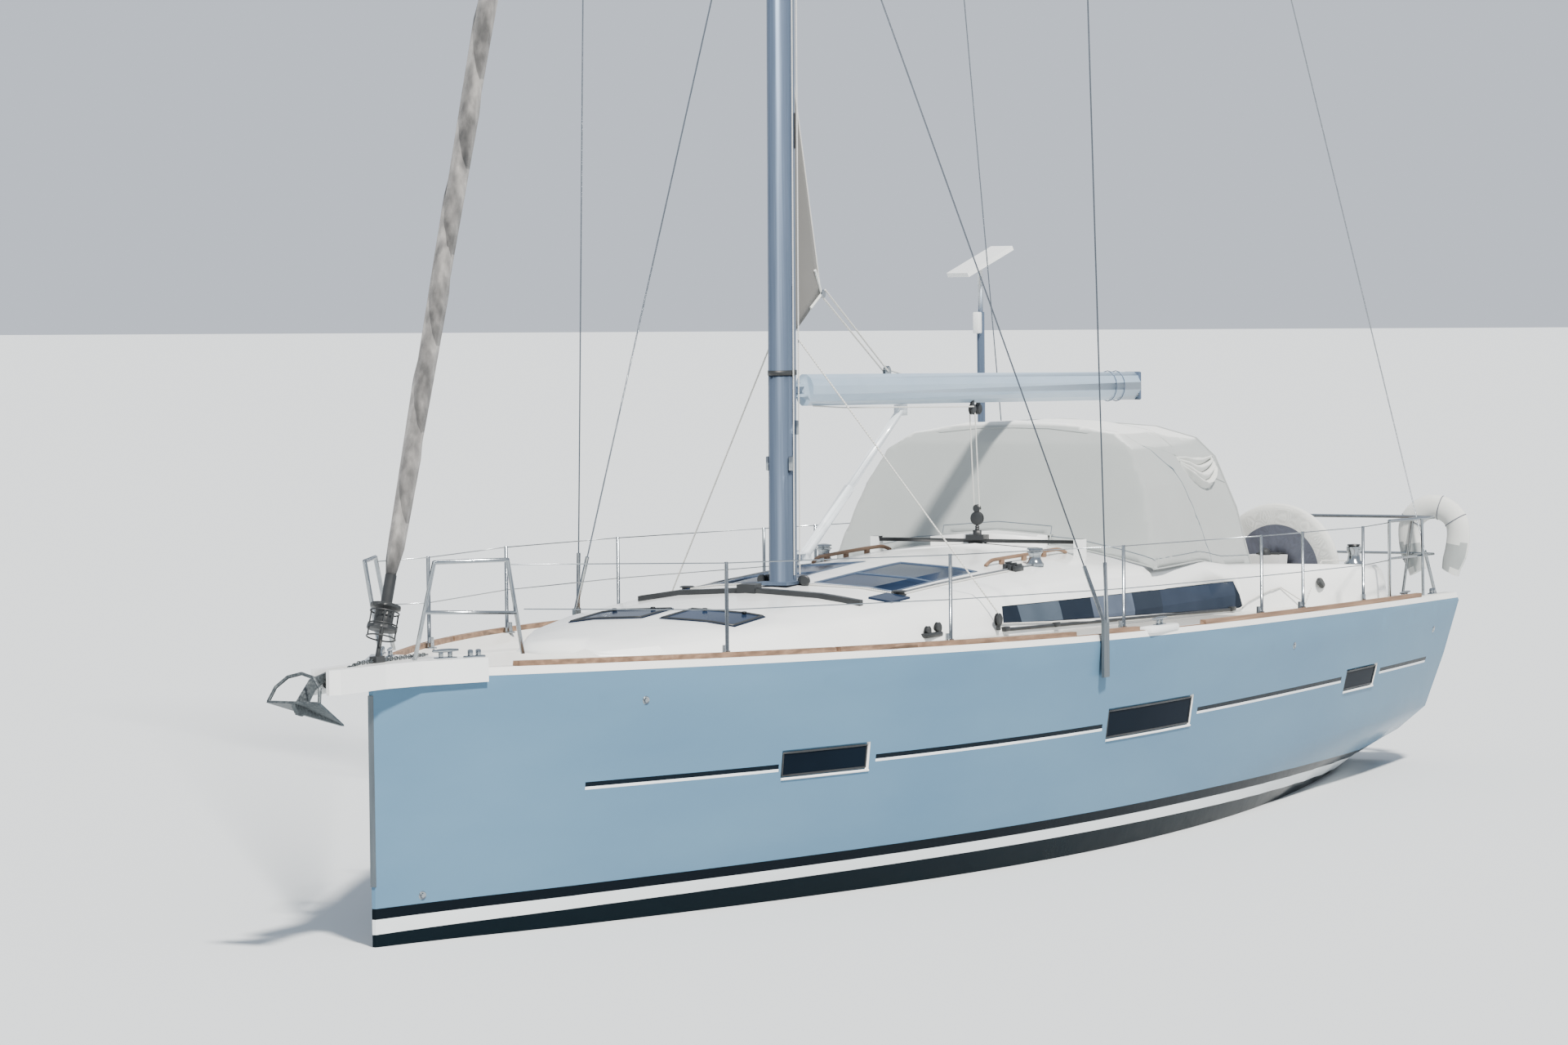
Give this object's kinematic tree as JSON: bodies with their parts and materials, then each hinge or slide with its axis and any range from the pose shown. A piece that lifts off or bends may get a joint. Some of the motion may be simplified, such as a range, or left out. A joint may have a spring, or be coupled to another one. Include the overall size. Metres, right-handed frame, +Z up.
{
  "type": "sailing yacht",
  "caption": "Cruising sailing yacht afloat: fin keel, steering wheels, furled sails, sprayhood and long coachroof.",
  "frame": {"origin": "on the centreline, amidships, at the waterline", "axes": "+X towards the bow, +Y to port, +Z up"},
  "size_m": [14.4143, 4.418, 23.435],
  "materials": {
    "gelcoat": "glossy gelcoat over fibreglass, antifouled below the water",
    "stainless": "polished stainless steel",
    "anodised_spar": "anodised",
    "painted_spar": "white paint",
    "bronze": "dull bronze",
    "antifouled_iron": "antifouling paint",
    "antifouled_blade": "antifouling paint",
    "galvanised": "galvanised",
    "black_plastic": "matt black",
    "sailcloth": "rolled sailcloth",
    "canvas": "coated canvas",
    "teak": "weathered teak",
    "dark_glass": "tinted acrylic"
  },
  "bodies": {
    "boat": {"anchor": "galvanised", "backstays": "stainless", "bow_moulding": "gelcoat", "cabin_window_port": "dark_glass", "cabin_window_starboard": "dark_glass", "cockpit_table": "teak", "deck_moulding": "gelcoat", "furled_jib": "sailcloth", "furler_drum": "black_plastic", "horseshoe_buoy": "canvas", "hull": "gelcoat", "hull_window_aft_port": "dark_glass", "hull_window_aft_starboard": "dark_glass", "hull_window_forward_port": "dark_glass", "hull_window_forward_starboard": "dark_glass", "hull_window_middle_port": "dark_glass", "hull_window_middle_starboard": "dark_glass", "jib_track": "black_plastic", "keel": "antifouled_iron", "lifelines_port": "stainless", "lifelines_starboard": "stainless", "mast": "anodised_spar", "pulpit_port": "stainless", "pulpit_starboard": "stainless", "pushpit_port": "stainless", "pushpit_starboard": "stainless", "saildrive": "anodised_spar", "satellite_panel": "gelcoat", "shrouds_port": "stainless", "shrouds_starboard": "stainless", "skylight_port": "dark_glass", "skylight_starboard": "dark_glass", "sprayhood": "canvas", "steering_pedestal_port": "gelcoat", "steering_pedestal_starboard": "gelcoat", "stem_plate": "stainless", "toe_rail_port": "teak", "toe_rail_starboard": "teak", "traveller": "black_plastic", "washboard": "teak", "winch_port": "stainless", "winch_starboard": "stainless"},
    "rudder": {"rudder": "antifouled_blade"},
    "port_wheel": {"wheel_port": "stainless", "wheel_cover": "canvas"},
    "starboard_wheel": {"wheel_starboard": "stainless"},
    "propeller": {"propeller": "bronze"},
    "boom": {"boom": "painted_spar", "vang": "painted_spar"},
    "companionway_hatch": {"companionway_hatch": "dark_glass"},
    "anchor_locker_lid": {"anchor_locker_lid": "gelcoat"},
    "fore_hatch_port": {"fore_hatch_port": "dark_glass"},
    "fore_hatch_starboard": {"fore_hatch_starboard": "dark_glass"},
    "seat_locker_lid_port": {"seat_locker_lid_port": "teak"},
    "seat_locker_lid_starboard": {"seat_locker_lid_starboard": "teak"},
    "transom_platform": {"transom_platform": "gelcoat"},
    "bow_roller": {"bow_roller": "black_plastic"}
  },
  "joints": [
    {"name": "rudder_turn", "type": "hinge", "parent": "boat", "child": "rudder", "pos_m": [-5.75, 0, -0.5], "axis": [0, 0, 1], "range_deg": [-35, 35]},
    {"name": "port_wheel_turn", "type": "hinge", "parent": "boat", "child": "port_wheel", "pos_m": [-5.2, 1.08, 1.66], "axis": [1, 0, 0], "range_deg": [-320, 320]},
    {"name": "starboard_wheel_turn", "type": "hinge", "parent": "boat", "child": "starboard_wheel", "pos_m": [-5.2, -1.08, 1.66], "axis": [1, 0, 0], "range_deg": [-320, 320]},
    {"name": "propeller_spin", "type": "hinge", "parent": "boat", "child": "propeller", "pos_m": [-3.56, 0, -0.9], "axis": [1, 0, 0], "continuous": true},
    {"name": "bow_roller_spin", "type": "hinge", "parent": "boat", "child": "bow_roller", "pos_m": [7.215, 0, 1.648], "axis": [0, 1, 0], "continuous": true},
    {"name": "boom_swing", "type": "hinge", "parent": "boat", "child": "boom", "pos_m": [1.1, 0, 3.2], "axis": [0, 0, 1], "range_deg": [-65, 65]},
    {"name": "anchor_locker_lid_hinge", "type": "hinge", "parent": "boat", "child": "anchor_locker_lid", "pos_m": [5.541, 0, 1.63], "axis": [0, -1, 0], "range_deg": [0, 100]},
    {"name": "fore_hatch_port_hinge", "type": "hinge", "parent": "boat", "child": "fore_hatch_port", "pos_m": [3.2592, 0.35, 1.8], "axis": [0, 1, 0], "range_deg": [0, 80]},
    {"name": "fore_hatch_starboard_hinge", "type": "hinge", "parent": "boat", "child": "fore_hatch_starboard", "pos_m": [3.2592, -0.35, 1.8], "axis": [0, 1, 0], "range_deg": [0, 80]},
    {"name": "seat_locker_lid_port_hinge", "type": "hinge", "parent": "boat", "child": "seat_locker_lid_port", "pos_m": [-3.95, 0.949, 1.236], "axis": [-1, 0, 0], "range_deg": [0, 80]},
    {"name": "seat_locker_lid_starboard_hinge", "type": "hinge", "parent": "boat", "child": "seat_locker_lid_starboard", "pos_m": [-3.95, -0.949, 1.236], "axis": [1, 0, 0], "range_deg": [0, 80]},
    {"name": "transom_platform_hinge", "type": "hinge", "parent": "boat", "child": "transom_platform", "pos_m": [-6.738, 0, 0.222], "axis": [0, -1, 0], "range_deg": [0, 90]},
    {"name": "companionway_hatch_slide", "type": "slide", "parent": "boat", "child": "companionway_hatch", "axis": [1, 0, 0], "range_m": [0, 0.42]}
  ],
  "couplings": [
    {"joint": "port_wheel_turn", "follows": "rudder_turn", "ratio": 9},
    {"joint": "starboard_wheel_turn", "follows": "rudder_turn", "ratio": 9}
  ]
}
